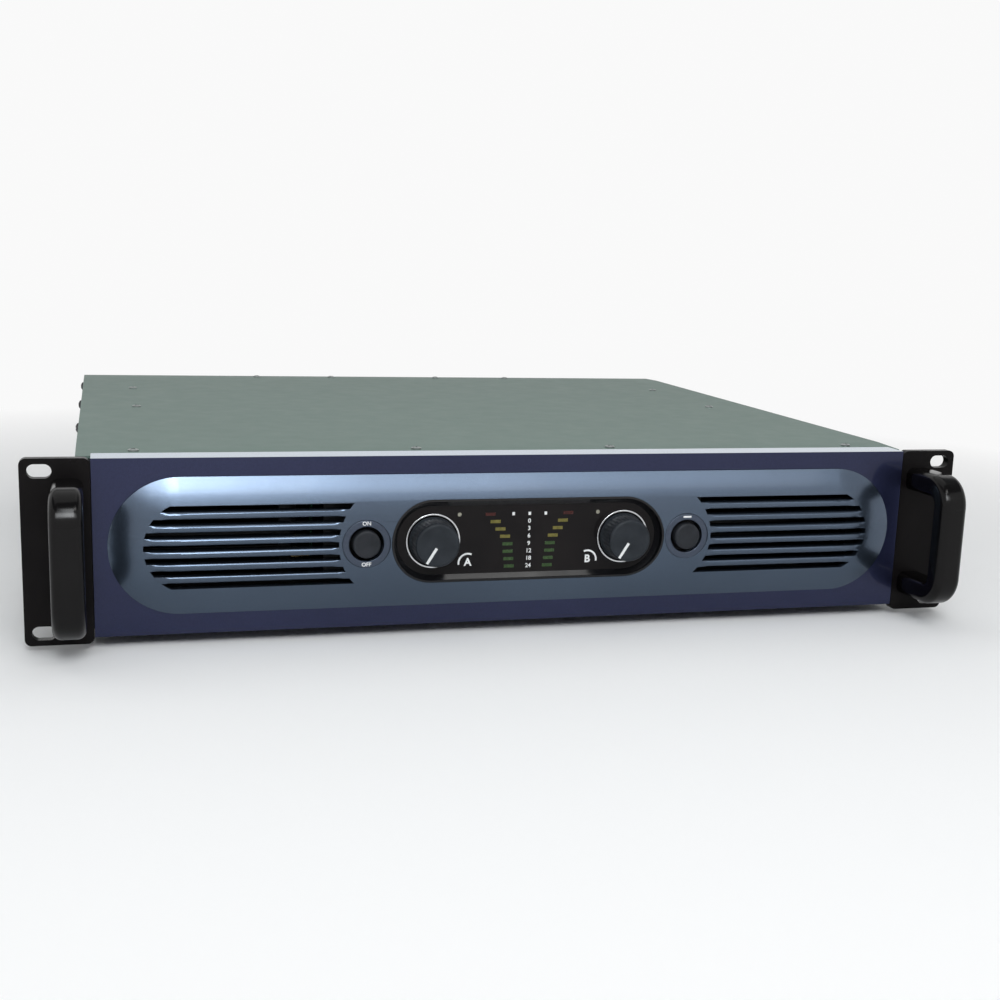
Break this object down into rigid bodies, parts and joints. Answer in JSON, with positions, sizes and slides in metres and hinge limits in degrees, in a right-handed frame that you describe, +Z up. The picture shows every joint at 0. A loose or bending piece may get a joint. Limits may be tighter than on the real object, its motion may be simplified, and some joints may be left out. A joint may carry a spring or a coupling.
{
  "type": "rack power amplifier",
  "caption": "Rack-mount stereo audio power amplifier with handled ears, a crowned louvred blue bezel, a meter window, level knobs, push buttons and rear fans.",
  "frame": {"origin": "middle of the outline, on the surface under the feet", "axes": "+X to the right across the front, +Y from the front to the rear, +Z up"},
  "size_m": [0.4826, 0.447, 0.0916],
  "materials": {
    "panel_blue": "satin metallic paint",
    "frame_black": "gloss",
    "smoked_window": "smoked, gloss",
    "bright_ring": "turned, bright",
    "knob_slate": "satin",
    "pointer_white": "matt",
    "shaft_steel": "turned",
    "control_grey": "matt",
    "board_green": "satin",
    "lamp_red": "unlit lamp",
    "lamp_yellow": "unlit lamp",
    "lamp_green": "unlit lamp",
    "button_dark": "satin",
    "ear_black": "satin powder coat",
    "handle_black": "satin powder coat",
    "screw_steel": "zinc plated",
    "cover_screw_grey": "zinc plated",
    "case_grey": "satin",
    "cover_grey": "satin",
    "foot_rubber": "matt",
    "winding_tape": "wound core under tape",
    "heatsink_metal": "black anodised",
    "device_black": "matt",
    "spacer_brass": "turned",
    "capacitor_blue": "sleeved",
    "cable_black": "matt",
    "cable_grey": "matt",
    "fan_black": "matt",
    "guard_bright": "bright plated wire",
    "socket_black": "satin",
    "switch_white": "satin"
  },
  "bodies": {
    "chassis": {"front_panel": "panel_blue", "grille_bezel": "panel_blue", "bezel_clips": "screw_steel", "button_rings": "panel_blue", "window_frame": "frame_black", "display_window": "smoked_window", "knob_rings": "bright_ring", "level_pots": "control_grey", "control_board": "board_green", "leds_red": "lamp_red", "leds_yellow": "lamp_yellow", "leds_green": "lamp_green", "push_switches": "control_grey", "left_ear": "ear_black", "right_ear": "ear_black", "left_handle": "handle_black", "right_handle": "handle_black", "case_screws": "screw_steel", "chassis_pan": "case_grey", "front_subpanel": "case_grey", "rear_panel": "case_grey", "panel_screws": "screw_steel", "top_cover": "cover_grey", "cover_screws": "cover_screw_grey", "rubber_feet": "foot_rubber", "transformer": "winding_tape", "transformer_pads": "foot_rubber", "transformer_plate": "screw_steel", "transformer_bolt": "screw_steel", "heatsinks": "heatsink_metal", "output_transistors": "device_black", "amp_boards": "board_green", "board_spacers": "spacer_brass", "supply_board": "board_green", "filter_capacitors": "capacitor_blue", "bridge_rectifier": "device_black", "mains_cable": "cable_black", "ribbon_cable": "cable_grey", "fan_frames": "fan_black", "fan_guards": "guard_bright", "fan_screws": "screw_steel", "mains_inlet": "socket_black", "inlet_pins": "spacer_brass", "breaker": "socket_black", "input_jacks": "socket_black", "speaker_terminals": "socket_black", "terminal_screws": "screw_steel", "mode_switch": "control_grey"},
    "knob_a": {"level_knob_a": "knob_slate", "knob_pointer_a": "pointer_white", "pot_shaft_a": "shaft_steel"},
    "knob_b": {"level_knob_b": "knob_slate", "knob_pointer_b": "pointer_white", "pot_shaft_b": "shaft_steel"},
    "power_push": {"power_button": "button_dark"},
    "limiter_push": {"limiter_button": "button_dark"},
    "fan_a": {"fan_rotor_a": "fan_black"},
    "fan_b": {"fan_rotor_b": "fan_black"},
    "breaker_push": {"breaker_button": "switch_white"},
    "mode_nub": {"mode_slider": "switch_white"}
  },
  "joints": [
    {"name": "level_a_turn", "type": "hinge", "parent": "chassis", "child": "knob_a", "pos_m": [-0.0495, -0.1955, 0.04905], "axis": [0, 1, 0], "range_deg": [0, 296]},
    {"name": "level_b_turn", "type": "hinge", "parent": "chassis", "child": "knob_b", "pos_m": [0.0495, -0.1955, 0.04905], "axis": [0, 1, 0], "range_deg": [0, 296]},
    {"name": "power_press", "type": "slide", "parent": "chassis", "child": "power_push", "axis": [0, 1, 0], "range_m": [0, 0.003], "stiffness_N_per_m": 400, "springref_m": -0.001},
    {"name": "limiter_press", "type": "slide", "parent": "chassis", "child": "limiter_push", "axis": [0, 1, 0], "range_m": [0, 0.003], "stiffness_N_per_m": 400, "springref_m": -0.001},
    {"name": "fan_a_spin", "type": "hinge", "parent": "chassis", "child": "fan_a", "pos_m": [-0.16, 0.1995, 0.04795], "axis": [0, 1, 0], "continuous": true},
    {"name": "fan_b_spin", "type": "hinge", "parent": "chassis", "child": "fan_b", "pos_m": [0.16, 0.1995, 0.04795], "axis": [0, 1, 0], "continuous": true},
    {"name": "breaker_trip", "type": "slide", "parent": "chassis", "child": "breaker_push", "axis": [0, 1, 0], "range_m": [0, 0.003]},
    {"name": "mode_slide", "type": "slide", "parent": "chassis", "child": "mode_nub", "axis": [0, 0, 1], "range_m": [0, 0.006]}
  ]
}
